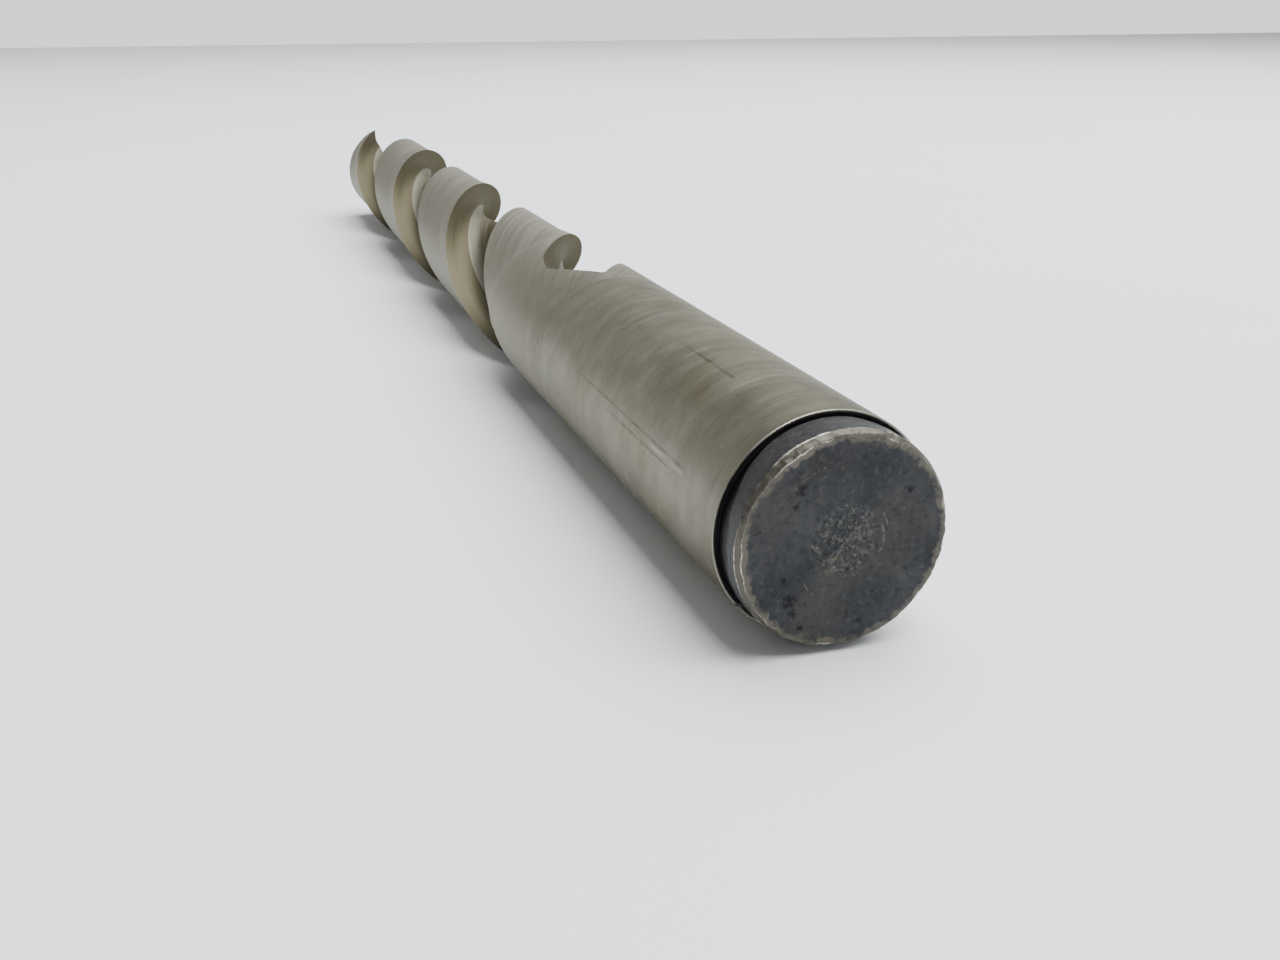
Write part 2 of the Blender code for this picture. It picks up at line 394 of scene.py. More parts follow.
def fluted_cutter():
    shape = loft([section_ring(x) for x in stations()])
    for tooth in range(2):
        trim_behind_edge(shape, tooth, 0.0, END_PRIMARY)
        trim_behind_edge(shape, tooth, END_PRIMARY_WIDTH, END_SECONDARY)
    cutter = mesh_object("fluted_cutter_ground", shape)
    for tooth in range(2):
        cut(cutter, gash_block(tooth))
    shade(cutter)
    mesh = cutter.data
    places = [untwisted(vertex.co) for vertex in mesh.vertices]
    layer = mesh.attributes.new("untwisted", "FLOAT_VECTOR", "POINT")
    layer.data.foreach_set("vector", [value for place in places for value in place])
    store(cutter, "across", [math.atan2(p.z, p.y) % math.pi / FLUTE_OPENING for p in places])
    for face in mesh.polygons:
        face.material_index = face_zone(face.center, face.normal)
    return cutter


# =========================================================================================
# Ground shank
# =========================================================================================

EDGE_NOTCH = clock(221)
NECK_RADIUS = RADIUS - 0.11 * MM


def edge_wobble(angle):
    """How far the ground edge is eaten back: small nibbles all round and one clear notch."""
    around = axial_point(0.0, RADIUS, angle)
    nibble = 0.030 * MM * rough(around, 0.6 * MM, 4, 3.0)
    notch = 0.28 * MM * math.exp(-(angle_gap(angle, EDGE_NOTCH) / math.radians(1.6)) ** 2)
    return abs(nibble) + notch


# (distance from the ground edge, radius, strength of the burr's bare metal and painted highlight)
# from the neck outwards
SHANK_PROFILE = (
    (0.20 * MM, 0.94 * RADIUS, 0.0),
    (0.08 * MM, 0.96 * RADIUS, 0.0),
    (0.02 * MM, RADIUS - 0.14 * MM, 0.0),
    (0.0, RADIUS - 0.06 * MM, 0.5),
    (0.01 * MM, RADIUS - 0.02 * MM, 1.0),
    (0.04 * MM, RADIUS, 1.0),
    (0.09 * MM, RADIUS, 0.3),
    (0.18 * MM, RADIUS, 0.0),
    (0.30 * MM, RADIUS, 0.0),
    (0.60 * MM, RADIUS, 0.0),
    (1.20 * MM, RADIUS, 0.0),
)
PROFILE_LENGTH = SHANK_PROFILE[-1][0]

# Stretches of the ground edge where the grinding burr is bright, bare metal with a painted
# highlight: clock angle, half width, strength
BURR_GLINTS = ((118, 20, 1.0), (96, 8, 0.7), (150, 14, 0.35), (62, 16, 0.3), (198, 12, 0.2))


def burr_glint(angle):
    """Brightness of the burr on the ground edge, 0..1, bare metal with a painted highlight."""
    around = axial_point(0.0, RADIUS, angle)
    bright = 0.12
    for degrees, half_width, strength in BURR_GLINTS:
        spread = angle_gap(angle, clock(degrees)) / math.radians(half_width)
        bright = max(bright, strength * math.exp(-spread ** 2))
    return min(max(bright * (1.0 + 0.9 * rough(around, 0.7 * MM, 3, 21.0)), 0.0), 1.0)


def ground_shank():
    turns = [2 * math.pi * side / ROUND_SIDES for side in range(ROUND_SIDES)]
    burr_glints = [burr_glint(turn) for turn in turns]
    rings = []
    burr_glint_values = []
    for offset, radius, bright in SHANK_PROFILE:
        burr_glint_values += [bright * burr for burr in burr_glints]
        fade = 1.0 - smoothstep(0.1 * MM, 0.6 * MM, offset)
        on_edge = smoothstep(RADIUS - 0.3 * MM, RADIUS - 0.1 * MM, radius)
        ring = []
        for turn in turns:
            x = END_LENGTH + offset + edge_wobble(turn) * fade * on_edge
            ring.append(axial_point(x, radius, turn))
        rings.append(ring)
    start = END_LENGTH + PROFILE_LENGTH
    for step in range(1, BAR_STEPS + 1):
        x = start + (JOINT_X - start) * step / BAR_STEPS
        rings.append([axial_point(x, RADIUS, turn) for turn in turns])
        burr_glint_values += [0.0] * ROUND_SIDES
    shank = mesh_object("ground_shank_bar", loft(rings))
    shade(shank)
    store(shank, "edge", burr_glint_values)
    for face in shank.data.polygons:
        radius = math.hypot(face.center.y, face.center.z)
        in_neck = radius < NECK_RADIUS and face.center.x < END_LENGTH + MM
        face.material_index = 1 if in_neck else 0
    return shank


# =========================================================================================
# Black shank end
# =========================================================================================

# Worn places round the rim: clock angle, half width in degrees, strength
RIM_MARKS = (
    (120, 17, 1.0),
    (104, 5, 0.8),
    (84, 12, 0.45),
    (66, 5, 0.8),
    (186, 24, 0.75),
    (222, 14, 0.55),
    (261, 5, 1.0),
    (296, 10, 0.5),
    (321, 3, 0.9),
    (8, 16, 0.4),
    (345, 12, 0.3),
)

# Dents in the face: clock angle, distance from the centre in face radii, size and depth in mm
FACE_DENTS = (
    (129, 0.70, 0.34, 0.07),
    (141, 0.62, 0.22, 0.05),
    (224, 0.72, 0.42, 0.09),
    (232, 0.80, 0.30, 0.07),
    (206, 0.66, 0.25, 0.05),
    (35, 0.74, 0.26, 0.05),
    (243, 0.88, 0.22, 0.06),
    (282, 0.82, 0.20, 0.05),
    (300, 0.60, 0.16, 0.03),
    (168, 0.86, 0.22, 0.04),
)

# Curved scratches on the face: centre (right, up) and radius in face radii, clock angles from and
# to, half width in mm
FACE_SCRATCHES = (
    (-0.10, -0.24, 0.30, 196, 236, 0.045),
    (0.05, 0.00, 0.33, -38, 34, 0.060),
    (0.02, 0.02, 0.40, 8, 36, 0.040),
    (-0.02, 0.05, 0.62, 100, 150, 0.030),
    (-0.02, 0.05, 0.70, 96, 140, 0.025),
)

PATCH_RADIUS = 0.34 * FACE_RADIUS
RIM_START = 0.52 * MM
RIM_LENGTH = 0.35 * MM
RIM_WIDTH = END_RADIUS - FACE_RADIUS
SIDE_INSET = 0.02 * MM
RIDGES = (0.14, 0.90)


def rim_wear(angle):
    """How hard the rim has been knocked at an angle, 0..1."""
    around = axial_point(0.0, END_RADIUS, angle)
    wear = 0.36 + 0.36 * rough(around, 1.1 * MM, 3, 11.0)
    for degrees, half_width, strength in RIM_MARKS:
        spread = angle_gap(angle, clock(degrees)) / math.radians(half_width)
        wear = max(wear, strength * math.exp(-spread ** 2))
    return min(max(wear, 0.0), 1.0)


def scratch_share(y, z):
    """1 in the middle of a curved scratch on the face, 0 away from all of them."""
    share = 0.0
    for right, up, size, start, stop, half_width in FACE_SCRATCHES:
        across = -y / FACE_RADIUS - right
        rise = z / FACE_RADIUS - up
        turn = (math.degrees(math.atan2(rise, across)) - start) % 360.0
        span = stop - start
        fade = min(turn, span - turn) / (0.25 * span)
        if fade > 0.0:
            off = (math.hypot(across, rise) - size) * FACE_RADIUS / (half_width * MM)
            share = max(share, min(fade, 1.0) * math.exp(-off ** 2))
    return share


def face_depth(y, z):
    """Depth of the end face behind its highest points in metres, the torn share 0..1, and the share
    of painted shade and scratch: up to 1 in a dent, which painted shade darkens, down to -1 on a
    bright scratch."""
    place = Vector((0.0, y, z))
    radius = place.length
    torn_edge = PATCH_RADIUS * (1.0 + 0.22 * rough(place, 1.6 * MM, 2, 5.0))
    torn = 1.0 - smoothstep(0.86, 1.08, radius / torn_edge)
    grain = rough(place, 0.28 * MM, 4, 7.0)
    waves = 0.5 + 0.5 * math.sin(radius / (0.16 * MM) + 2.5 * rough(place, 2.5 * MM, 2, 9.0))
    depth = 0.030 * MM + 0.018 * MM * rough(place, 1.8 * MM, 3, 2.0)
    depth += 0.006 * MM * waves * (1.0 - torn)
    depth += 0.010 * MM * grain * (1.0 - torn)
    depth += torn * (0.050 * MM + 0.075 * MM * grain)
    lip = math.exp(-((radius / torn_edge - 1.04) / 0.06) ** 2)
    depth -= 0.022 * MM * lip * (0.6 + 0.8 * grain)
    pit = 0.0
    for degrees, share, size, deep in FACE_DENTS:
        spot = axial_point(0.0, share * FACE_RADIUS, clock(degrees))
        away = (place - spot).length / (size * MM) + 0.9 * grain
        dent = math.exp(-away ** 2) if away > 0.0 else 1.0
        depth += deep * MM * dent
        pit = max(pit, dent)
    scratch = scratch_share(y, z) * (0.7 + 0.9 * grain)
    depth -= 0.02 * MM * scratch
    return depth, torn, pit - scratch


# Width of the band of painted shade beside the ground edge: clock angle, half width in degrees, band
# in mm
NECK_SHADE_BANDS = ((185, 44, 1.15), (56, 22, 0.62), (232, 24, 0.80))


def neck_shade(x, angle):
    """1 in the band of painted shade beside the ground edge, 0 elsewhere on the black side."""
    width = 0.10 * MM
    for degrees, half_width, band in NECK_SHADE_BANDS:
        spread = angle_gap(angle, clock(degrees)) / math.radians(half_width)
        width = max(width, band * MM * math.exp(-spread ** 2))
    width *= 1.0 + 0.25 * rough(axial_point(0.0, END_RADIUS, angle), 1.2 * MM, 2, 14.0)
    return 1.0 - smoothstep(0.7 * width, 1.2 * width, END_LENGTH - x)


def side_radius(x, angle):
    """Radius of the black side, with turning lines and a shallow groove beside the ground edge."""
    around = axial_point(x, END_RADIUS, angle)
    lines = 0.005 * MM * math.sin(x / (0.055 * MM) + 1.5 * rough(around, 3.0 * MM, 2, 1.0))
    groove = 0.05 * MM * neck_shade(x, angle)
    scale = 0.01 * MM * abs(rough(around, 0.9 * MM, 3, 4.0))
    return END_RADIUS - SIDE_INSET + lines - groove - scale


def ridge_height(share):
    """1 on each of the two hammered ridges of the rim, 0 away from them."""
    return sum(math.exp(-((share - ridge) / 0.10) ** 2) for ridge in RIDGES)


def rim_point(share, angle):
    """Point on the worn corner between side (share 0) and face (share 1), and its wear."""
    wear = rim_wear(angle)
    around = axial_point(0.0, END_RADIUS, angle)
    wobble = rough(around + Vector((share * MM, 0.0, 0.0)), 0.35 * MM, 4, 6.0)
    width = RIM_WIDTH * (0.85 + 0.75 * wear + 0.45 * rough(around, 0.8 * MM, 3, 8.0))
    length = RIM_LENGTH * (0.85 + 0.55 * wear)
    turn = share * math.pi / 2
    x = length * (1.0 - 0.6 * share - 0.4 * math.sin(turn)) + 0.03 * MM
    inset = width * (0.6 * share + 0.4 * (1.0 - math.cos(turn)))
    burr = 0.05 * MM * wear * ridge_height(share)
    x += 0.03 * MM * wobble * wear - 0.6 * burr
    inset += 0.03 * MM * wobble * wear - 0.6 * burr * (1.0 - share)
    return x, END_RADIUS - SIDE_INSET - max(inset, -0.015 * MM), wear


def note(marks, **values):
    """Add one vertex's numbers to the lists; a number that isn't given is 0."""
    for name, numbers in marks.items():
        numbers.append(values.get(name, 0.0))


def side_rings(turns, marks):
    """Rings of the black side, from the neck to where the rim starts."""
    rings = []
    for step in range(SIDE_STEPS):
        share = step / SIDE_STEPS
        x = END_LENGTH + (RIM_START - END_LENGTH) * share
        rings.append([axial_point(x, side_radius(x, turn), turn) for turn in turns])
        for turn in turns:
            note(marks, neck=neck_shade(x, turn))
    return rings


def rim_rings(turns, marks):
    """Rings over the worn rim, and each turn's last radius, X and wear."""
    rings = []
    for step in range(RIM_STEPS + 1):
        share = step / RIM_STEPS
        blend_in = smoothstep(0.5, 1.0, share)
        ring = []
        inner = []
        for turn in turns:
            x, radius, wear = rim_point(share, turn)
            depth = face_depth(radius * math.cos(turn), radius * math.sin(turn))[0]
            x = max(x * (1.0 - blend_in) + depth * blend_in * (1.0 - 0.6 * wear), 0.0)
            ring.append(axial_point(x, radius, turn))
            inner.append((radius, x, wear))
            worn = smoothstep(0.0, 0.15, share) * (0.55 + 0.45 * wear)
            note(marks, wear=worn, glint=min(ridge_height(share), 1.0) * wear)
        rings.append(ring)
    return rings, inner


def face_rings(turns, marks, inner):
    """Rings of the face, from inside the rim to near the centre."""
    rings = []
    for step in range(1, FACE_STEPS):
        share = 1.0 - step / FACE_STEPS
        near_rim = smoothstep(0.93, 1.0, share)
        ring = []
        for turn, (rim_radius, rim_x, wear) in zip(turns, inner):
            radius = rim_radius * share
            depth, torn, pit = face_depth(radius * math.cos(turn), radius * math.sin(turn))
            x = max(depth * (1 - near_rim) + rim_x * near_rim, 0.0)
            ring.append(axial_point(x, radius, turn))
            uneven = 0.035 * rough(axial_point(0.0, radius, turn), 0.5 * MM, 4, 17.0)
            scuff = smoothstep(0.90, 0.985, share + uneven)
            note(marks, wear=(0.35 + 0.60 * wear) * scuff, torn=torn, pit=pit)
        rings.append(ring)
    return rings


def shank_end():
    turns = [2 * math.pi * side / END_SIDES for side in range(END_SIDES)]
    marks = {name: [] for name in ("wear", "glint", "torn", "pit", "neck")}
    rings = side_rings(turns, marks)
    over_rim, inner = rim_rings(turns, marks)
    rings += over_rim + face_rings(turns, marks, inner)
    end = mesh_object("shank_end_black", loft(rings))
    shade(end)
    for name, numbers in marks.items():
        store(end, name, numbers)
    return end


# =========================================================================================
# Materials
# =========================================================================================

# Ground steel reflects hardly more at a glancing angle than straight on
EDGE_TINT = (0.45, 0.45, 0.44, 1.0)

# --- Colours of the shank (place on the ramp and colour, or a colour alone) ---
STAIN_STOPS = (
    (0.30, (0.232, 0.218, 0.165)),
    (0.47, (0.265, 0.250, 0.200)),
    (0.62, (0.288, 0.275, 0.226)),
)
STREAK_COLOR = (0.110, 0.102, 0.080)
DARK_MARK_COLOR = (0.075, 0.068, 0.050)
LIGHT_MARK_COLOR = (0.50, 0.48, 0.42)
DULL_COLOR = (0.105, 0.099, 0.077)
# Burr on the ground edge: bare metal with a painted highlight
BURR_AND_GLINT_COLOR = (0.45, 0.42, 0.36)

# The shank is dull beside its black end, and gets clean between these two values of X
DULL_START = END_LENGTH + 3.0 * MM
DULL_STOP = END_LENGTH + 11.0 * MM

# --- Colours of the cutter, across a flute's width from its cutting edge (0) to its heel (1) ---
LAND_STOPS = ((0.0, (0.375, 0.355, 0.302)), (1.0, (0.340, 0.322, 0.270)))
FLUTE_STOPS = (
    (0.0, (0.220, 0.208, 0.172)),
    (0.2, (0.155, 0.144, 0.104)),
    (0.5, (0.104, 0.094, 0.058)),
    (1.0, (0.098, 0.088, 0.058)),
)
END_GRIND_STOPS = ((0.0, (0.30, 0.285, 0.25)), (1.0, (0.26, 0.245, 0.21)))

# --- Colours of the black end ---
SCALE_STOPS = (
    (0.34, (0.022, 0.0225, 0.0245)),
    (0.50, (0.032, 0.0325, 0.0355)),
    (0.66, (0.043, 0.044, 0.0475)),
)
WARM_SCALE = (0.042, 0.039, 0.033)
PALE_SCALE = (0.072, 0.070, 0.060)
DARK_SCALE = (0.009, 0.0095, 0.0105)
# Painted shade in the face's dents
DENT_SHADE_COLOR = (0.008, 0.008, 0.009)
SCRATCH_COLOR = (0.120, 0.116, 0.098)
TORN_COLOR = (0.100, 0.100, 0.086)
RUST_COLOR = (0.110, 0.060, 0.030)
WORN_COLOR = (0.094, 0.087, 0.071)
# Bare metal on the rim's ridges, with a painted highlight
BARE_METAL_AND_GLINT_COLOR = (0.42, 0.395, 0.34)
# Painted shade: near black in the band beside the ground edge
NECK_SHADE_COLOR = (0.004, 0.004, 0.005)
# Scale in the step behind the ground edge, darkened with painted shade
NECK_SCALE_AND_SHADE_STOPS = ((0.35, (0.008, 0.008, 0.009)), (0.70, (0.022, 0.023, 0.026)))

PAPER_STOPS = ((0.3, (0.815, 0.835, 0.86)), (0.7, (0.845, 0.865, 0.89)))


class Nodes:
    """Short hand for building a material's node tree."""

    def __init__(self, name):
        self.material = bpy.data.materials.new(name)
        self.material.use_nodes = True
        self.tree = self.material.node_tree
        self.shader = self.tree.nodes["Principled BSDF"]

    def add(self, kind, inputs=None, **settings):
        node = self.tree.nodes.new(kind)
        for key, value in settings.items():
            setattr(node, key, value)
        for key, value in (inputs or {}).items():
            self.feed(node.inputs[key], value)
        return node

    def feed(self, socket, value):
        if isinstance(value, bpy.types.NodeSocket):
            self.tree.links.new(value, socket)
        else:
            socket.default_value = value

    def number(self, name):
        """One of the numbers stored per vertex."""
        return self.add("ShaderNodeAttribute", attribute_name=name).outputs["Fac"]

    def place(self):
        return self.add("ShaderNodeTexCoord").outputs["Object"]

    def parts(self, vector):
        return self.add("ShaderNodeSeparateXYZ", {"Vector": vector}).outputs

    def scaled(self, vector, scale):
        return self.add("ShaderNodeMapping", {"Vector": vector, "Scale": scale}).outputs[0]

    def noise(self, vector, scale, detail=3.0, roughness=0.5):
        inputs = {"Vector": vector, "Scale": scale, "Detail": detail, "Roughness": roughness}
        return self.add("ShaderNodeTexNoise", inputs).outputs["Fac"]

    def ramp(self, value, stops):
        node = self.add("ShaderNodeValToRGB", {"Fac": value})
        ramp = node.color_ramp
        while len(ramp.elements) < len(stops):
            ramp.elements.new(0.5)
        for element, (place, color) in zip(ramp.elements, stops):
            element.position = place
            element.color = color if len(color) == 4 else (*color, 1.0)
        return node.outputs["Color"]

    def spread(self, value, low, high, to_low=0.0, to_high=1.0):
        inputs = {
            "Value": value,
            "From Min": low,
            "From Max": high,
            "To Min": to_low,
            "To Max": to_high,
        }
        return self.add("ShaderNodeMapRange", inputs).outputs[0]

    def mix(self, share, first, second, mode="MIX"):
        node = self.add("ShaderNodeMix", data_type="RGBA", blend_type=mode)
        for index, value in ((0, share), (6, first), (7, second)):
            if index > 0 and not isinstance(value, bpy.types.NodeSocket):
                value = (*value, 1.0)
            self.feed(node.inputs[index], value)
        return node.outputs[2]

    def dimmed(self, color, factor):
        inputs = {0: factor, 1: factor, 2: factor}
        factors = self.add("ShaderNodeCombineColor", inputs).outputs[0]
        return self.mix(1.0, color, factors, "MULTIPLY")

    def math(self, operation, *values):
        node = self.add("ShaderNodeMath", operation=operation)
        for index, value in enumerate(values):
            self.feed(node.inputs[index], value)
        return node.outputs[0]

    def bump(self, height, distance, strength=1.0, normal=None):
        inputs = {"Height": height, "Distance": distance, "Strength": strength}
        if normal is not None:
            inputs["Normal"] = normal
        return self.add("ShaderNodeBump", inputs).outputs[0]

    def finish(self, **sockets):
        for name, value in sockets.items():
            self.feed(self.shader.inputs[name.replace("_", " ")], value)
        return self.material


# Marks along the shank: angle round the tool in degrees, from and to X in mm, half width in mm
DARK_MARKS = ((18.8, 7.4, 32.0, 0.10), (13.4, 9.5, 23.0, 0.10), (72.0, 10.2, 20.0, 0.16))
LIGHT_MARKS = ((16.1, 7.4, 9.8, 0.12), (16.1, 10.6, 13.4, 0.10), (40.0, 4.6, 5.3, 0.05))


def marks_along(n, place, marks, uneven):
    """Share 0..1 of thin marks that run along the tool axis."""
    parts = n.parts(place)
    angle = n.math("ARCTAN2", parts["Z"], parts["Y"])
    total = 0.0
    for degrees, start, stop, half_width in marks:
        off = n.math("ABSOLUTE", n.math("SUBTRACT", angle, math.radians(degrees)))
        width = half_width * MM / RADIUS
        line = n.spread(off, width, 0.3 * width)
        begin = n.spread(parts["X"], start * MM, (start + 0.4) * MM)
        end = n.spread(parts["X"], stop * MM, (0.6 * stop + 0.4 * start) * MM)
        line = n.math("MULTIPLY", line, n.math("MULTIPLY", begin, end))
        total = n.math("MAXIMUM", line, total)
    return n.math("MULTIPLY", total, uneven)


def stained_steel(n, place):
    """Colour of the round ground steel, with the noises behind its grinding lines and stains."""
    lines = n.noise(n.scaled(place, (5200.0, 170.0, 170.0)), 1.0, 4.0, 0.65)
    stains = n.noise(n.scaled(place, (95.0, 170.0, 170.0)), 1.0, 4.0, 0.62)
    mottle = n.noise(n.scaled(place, (700.0, 420.0, 420.0)), 1.0, 4.0, 0.7)
    line_shade = n.spread(lines, 0.25, 0.75, 0.86, 1.10)
    mottle_shade = n.spread(mottle, 0.3, 0.7, 0.84, 1.14)
    color = n.dimmed(n.ramp(stains, STAIN_STOPS), n.math("MULTIPLY", line_shade, mottle_shade))
    return color, lines, stains


def ground_steel():
    """Cylindrically ground shank: lines run round it, with stains, a few collet scratches and a burr
    on its edge brightened with a painted highlight.
    """
    n = Nodes("ground_steel")
    place = n.place()
    color, lines, stains = stained_steel(n, place)
    bands = n.noise(n.scaled(place, (900.0, 60.0, 60.0)), 1.0, 3.0, 0.6)
    axial = n.noise(n.scaled(place, (45.0, 1500.0, 1500.0)), 1.0, 3.0, 0.6)
    streak = n.spread(axial, 0.66, 0.74, 0.0, 0.18)
    color = n.mix(streak, color, STREAK_COLOR)
    uneven = n.spread(n.noise(place, 900.0, 3.0, 0.6), 0.30, 0.60, 0.15, 0.60)
    color = n.mix(marks_along(n, place, DARK_MARKS, uneven), color, DARK_MARK_COLOR)
    color = n.mix(marks_along(n, place, LIGHT_MARKS, uneven), color, LIGHT_MARK_COLOR)
    roughness = n.spread(n.math("ADD", lines, bands), 0.7, 1.3, 0.34, 0.44)
    normal = n.bump(lines, 0.004 * MM, 0.55)
    normal = n.bump(bands, 0.010 * MM, 0.12, normal)
    uneven_x = n.math("MULTIPLY_ADD", stains, 6.0 * MM, n.parts(place)["X"])
    color = n.mix(n.spread(uneven_x, DULL_START, DULL_STOP, 0.45, 0.0), color, DULL_COLOR)
    # Painted highlight: brightens the burr along the ground edge
    color = n.mix(n.number("edge"), color, BURR_AND_GLINT_COLOR)
    return n.finish(
        Base_Color=color,
        Metallic=1.0,
        Roughness=roughness,
        Normal=normal,
        Specular_Tint=EDGE_TINT,
    )


def fluted_steel(name, stops, rough_low, rough_high, meets_shank=False):
    """Surface ground along the helix: the marks follow the cutter's twist.

    The stops give the colour across a flute, from its cutting edge (0) to its heel (1). Where
    the surface meets the shank, it takes the shank's colour and changes gradually.
    """
    n = Nodes(name)
    untwisted_place = n.add("ShaderNodeAttribute", attribute_name="untwisted").outputs["Vector"]
    marks = n.noise(n.scaled(untwisted_place, (60.0, 3600.0, 3600.0)), 1.0, 4.0, 0.6)
    patches = n.noise(n.scaled(untwisted_place, (120.0, 260.0, 260.0)), 1.0, 4.0, 0.6)
    across = n.math("ADD", n.number("across"), n.spread(patches, 0.3, 0.7, -0.10, 0.10))
    color = n.dimmed(n.ramp(across, stops), n.spread(marks, 0.25, 0.75, 0.86, 1.10))
    if meets_shank:
        place = n.place()
        share = n.spread(n.parts(place)["X"], JOINT_X, FULL_DEPTH_X)
        color = n.mix(share, stained_steel(n, place)[0], color)
    roughness = n.spread(marks, 0.3, 0.7, rough_low, rough_high)
    normal = n.bump(marks, 0.004 * MM, 0.5)
    return n.finish(
        Base_Color=color, Metallic=1.0, Roughness=roughness, Normal=normal, Specular_Tint=EDGE_TINT
    )


def black_scale():
    """Blue-black scale, mottled, with bright metal where the rim and the torn middle are worn,
    painted highlights on the rim's ridges, and painted shade in the dents and in a band beside the
    ground edge.
    """
    n = Nodes("black_scale")
    place = n.place()
    broad = n.noise(place, 330.0, 4.0, 0.6)
    tint = n.noise(place, 190.0, 2.0, 0.5)
    fine = n.noise(place, 2300.0, 4.0, 0.7)
    flecks = n.noise(place, 4300.0, 3.0, 0.7)
    base = n.ramp(broad, SCALE_STOPS)
    base = n.mix(n.spread(tint, 0.46, 0.62, 0.0, 0.45), base, WARM_SCALE)
    base = n.mix(n.spread(fine, 0.54, 0.72, 0.0, 0.60), base, PALE_SCALE)
    base = n.mix(n.spread(fine, 0.46, 0.30, 0.0, 0.65), base, DARK_SCALE)
    pit = n.number("pit")
    # Painted shade: darkens the dents in the face
    base = n.mix(n.spread(pit, 0.25, 0.90, 0.0, 0.85), base, DENT_SHADE_COLOR)
    base = n.mix(n.spread(pit, -0.20, -0.80, 0.0, 0.70), base, SCRATCH_COLOR)
    torn = n.number("torn")
    torn_share = n.math("MULTIPLY", torn, n.spread(flecks, 0.50, 0.64, 0.0, 0.85))
    base = n.mix(torn_share, base, TORN_COLOR)
    rust = n.spread(n.noise(place, 1500.0, 2.0, 0.5), 0.68, 0.72, 0.0, 0.5)
    base = n.mix(n.math("MULTIPLY", torn, rust), base, RUST_COLOR)
    scuff = n.math("MULTIPLY", n.number("wear"), n.spread(fine, 0.28, 0.60, 0.55, 1.35))
    scuffed = n.spread(scuff, 0.30, 0.75)
    color = n.mix(scuffed, base, WORN_COLOR)
    # Painted highlight on the rim's ridges, on bare worn metal
    glint = n.math("MULTIPLY", n.number("glint"), n.spread(flecks, 0.30, 0.60, 0.5, 1.4))
    bare_and_glint = n.spread(glint, 0.35, 0.85)
    color = n.mix(bare_and_glint, color, BARE_METAL_AND_GLINT_COLOR)
    # Painted shade: darkens the band beside the ground edge
    color = n.mix(n.number("neck"), color, NECK_SHADE_COLOR)
    metallic = n.math("MAXIMUM", n.spread(scuffed, 0.0, 1.0, 0.30, 0.75), bare_and_glint)
    roughness = n.spread(n.math("ADD", fine, broad), 0.7, 1.3, 0.36, 0.52)
    normal = n.bump(fine, 0.012 * MM, 0.5)
    return n.finish(Base_Color=color, Metallic=metallic, Roughness=roughness, Normal=normal, IOR=1.2)


def black_neck():
    """Scale in the step behind the ground edge, darker than the rest of the scale with painted
    shade.
    """
    n = Nodes("black_neck")
    lines = n.noise(n.scaled(n.place(), (5000.0, 300.0, 300.0)), 1.0, 3.0, 0.6)
    normal = n.bump(lines, 0.01 * MM, 0.5)
    color = n.ramp(lines, NECK_SCALE_AND_SHADE_STOPS)
    return n.finish(Base_Color=color, Metallic=0.3, Roughness=0.6, Normal=normal)


def floor_paper():
    """Pale paper, very slightly uneven in tone."""
    n = Nodes("floor_paper")
    cloud = n.noise(n.place(), 14.0, 3.0, 0.5)
    return n.finish(Base_Color=n.ramp(cloud, PAPER_STOPS), Roughness=0.9)


# =========================================================================================
# Stage
# =========================================================================================

CAMERA_PLACE = Vector((-54.47, 29.68, 26.41)) * MM
CAMERA_YAW = math.radians(-18.83)
CAMERA_PITCH = math.radians(-20.63)
CAMERA_LENS = 36.56
SENSOR_WIDTH = 36.0

# --- Floor sheet; the room's light shows above its far edge ---
FLOOR_START = -1.5
FLOOR_END = 0.86
FLOOR_HALF_WIDTH = 2.0

# --- Light from above ---
SOFTBOX_PLACE = Vector((0.07, -0.22, 0.60))
SOFTBOX_AIM = Vector((0.06, 0.0, 0.0))
SOFTBOX_SIZE = (0.95, 0.75)
SOFTBOX_POWER = 15.6
SOFTBOX_COLOR = (0.965, 0.99, 1.0)

# Brightness of the room by the height of the direction: 0 at the horizon, 1 overhead
ROOM_STOPS = (
    (0.0, (1.33, 1.36, 1.38)),
    (0.12, (1.00, 1.00, 0.99)),
    (0.38, (0.92, 0.92, 0.91)),
    (0.62, (0.25, 0.25, 0.25)),
)

# The room darkens towards +Y
ROOM_SIDE = (("From Min", 0.40), ("From Max", 0.80), ("To Min", 1.0), ("To Max", 0.35))


def add_camera():
    data = bpy.data.cameras.new("camera")
    data.lens = CAMERA_LENS
    data.sensor_width = SENSOR_WIDTH
    data.clip_start = 1 * MM
    camera = bpy.data.objects.new("camera", data)
    bpy.context.scene.collection.objects.link(camera)
    level = math.cos(CAMERA_PITCH)
    ahead = level * math.cos(CAMERA_YAW)
    aside = level * math.sin(CAMERA_YAW)
    sight = Vector((ahead, aside, math.sin(CAMERA_PITCH)))
    camera.location = CAMERA_PLACE
    camera.rotation_euler = sight.to_track_quat("-Z", "Y").to_euler()
    bpy.context.scene.camera = camera


def add_softbox():
    data = bpy.data.lights.new("ceiling_softbox", "AREA")
    data.shape = "RECTANGLE"
    data.size, data.size_y = SOFTBOX_SIZE
    data.energy = SOFTBOX_POWER
    data.color = SOFTBOX_COLOR
    light = bpy.data.objects.new("ceiling_softbox", data)
    bpy.context.scene.collection.objects.link(light)
    light.location = SOFTBOX_PLACE
    light.rotation_euler = (SOFTBOX_AIM - SOFTBOX_PLACE).to_track_quat("-Z", "Y").to_euler()


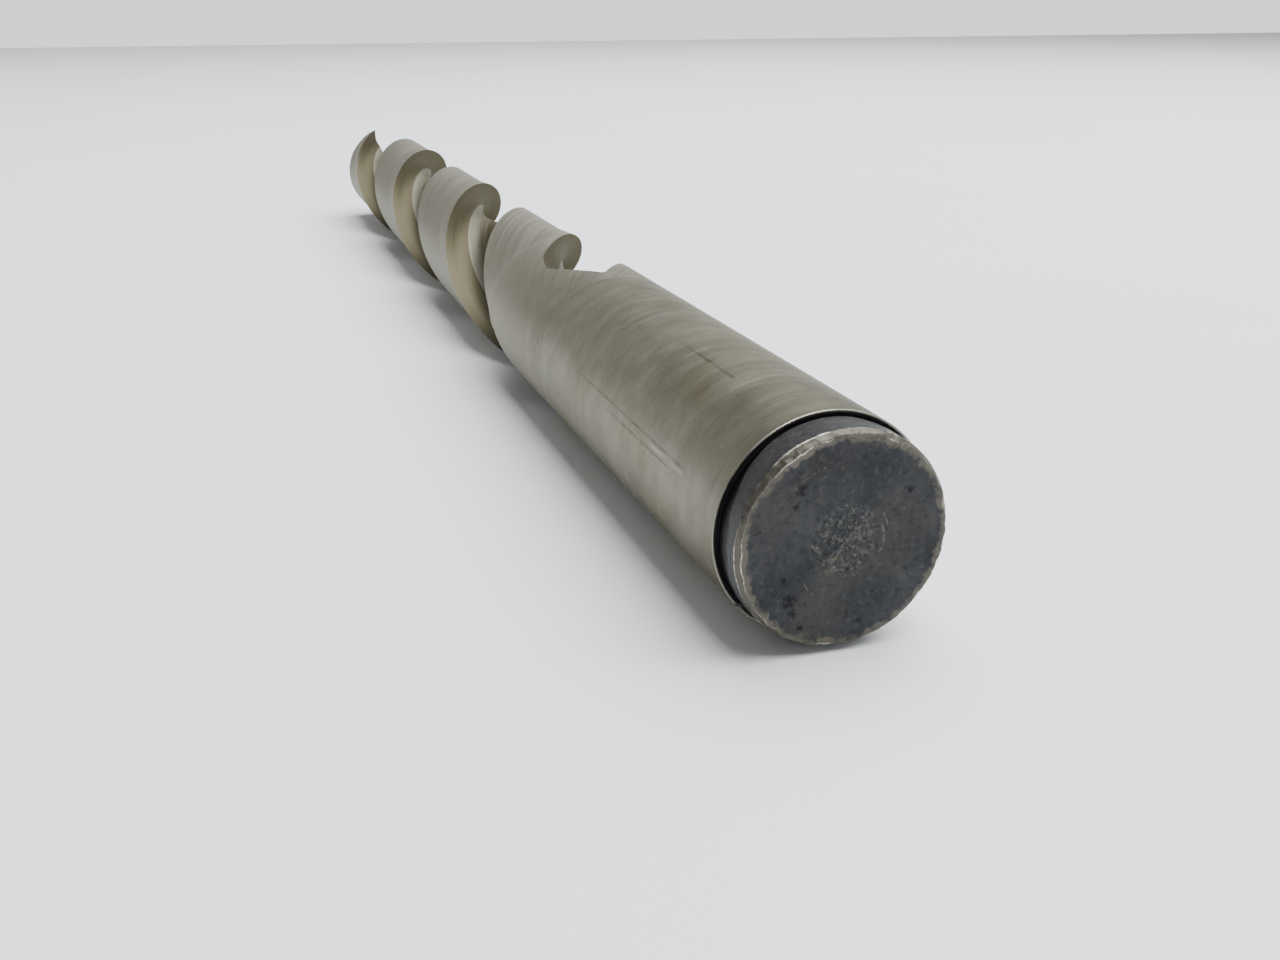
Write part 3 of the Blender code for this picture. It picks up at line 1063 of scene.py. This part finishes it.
def add_floor():
    shape = bmesh.new()
    corners = (
        (FLOOR_START, -FLOOR_HALF_WIDTH),
        (FLOOR_END, -FLOOR_HALF_WIDTH),
        (FLOOR_END, FLOOR_HALF_WIDTH),
        (FLOOR_START, FLOOR_HALF_WIDTH),
    )
    shape.faces.new([shape.verts.new((x, y, FLOOR_Z)) for x, y in corners])
    floor = mesh_object("floor_sheet", shape)
    floor.data.materials.append(floor_paper())


def add_room():
    """Soft light from all round, by the height and side of the direction."""
    world = bpy.data.worlds.new("soft_room")
    bpy.context.scene.world = world
    world.use_nodes = True
    tree = world.node_tree
    direction = tree.nodes.new("ShaderNodeTexCoord").outputs["Generated"]
    height = tree.nodes.new("ShaderNodeSeparateXYZ")
    ramp = tree.nodes.new("ShaderNodeValToRGB")
    tree.links.new(direction, height.inputs[0])
    tree.links.new(height.outputs["Z"], ramp.inputs[0])
    for _ in ROOM_STOPS[2:]:
        ramp.color_ramp.elements.new(0.5)
    for element, (place, color) in zip(ramp.color_ramp.elements, ROOM_STOPS):
        element.position = place
        element.color = (*color, 1.0)
    side = tree.nodes.new("ShaderNodeMapRange")
    tree.links.new(height.outputs["Y"], side.inputs["Value"])
    for socket, value in ROOM_SIDE:
        side.inputs[socket].default_value = value
    background = tree.nodes["Background"]
    tree.links.new(ramp.outputs["Color"], background.inputs["Color"])
    tree.links.new(side.outputs["Result"], background.inputs["Strength"])


def build():
    cutter = fluted_cutter()
    for material in (
        fluted_steel("ground_land", LAND_STOPS, 0.38, 0.50, meets_shank=True),
        fluted_steel("ground_flute", FLUTE_STOPS, 0.48, 0.60),
        fluted_steel("ground_end", END_GRIND_STOPS, 0.30, 0.44),
    ):
        cutter.data.materials.append(material)
    shank = ground_shank()
    shank.data.materials.append(ground_steel())
    shank.data.materials.append(black_neck())
    end = shank_end()
    end.data.materials.append(black_scale())
    for piece, node, slot in (
        (cutter, "fluted_cutter", "ground_flutes"),
        (shank, "ground_shank", "ground_steel"),
        (end, "shank_end", "black_scale"),
    ):
        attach(piece, "root")
        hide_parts(node)


add_camera()
build()
add_floor()
add_room()
add_softbox()
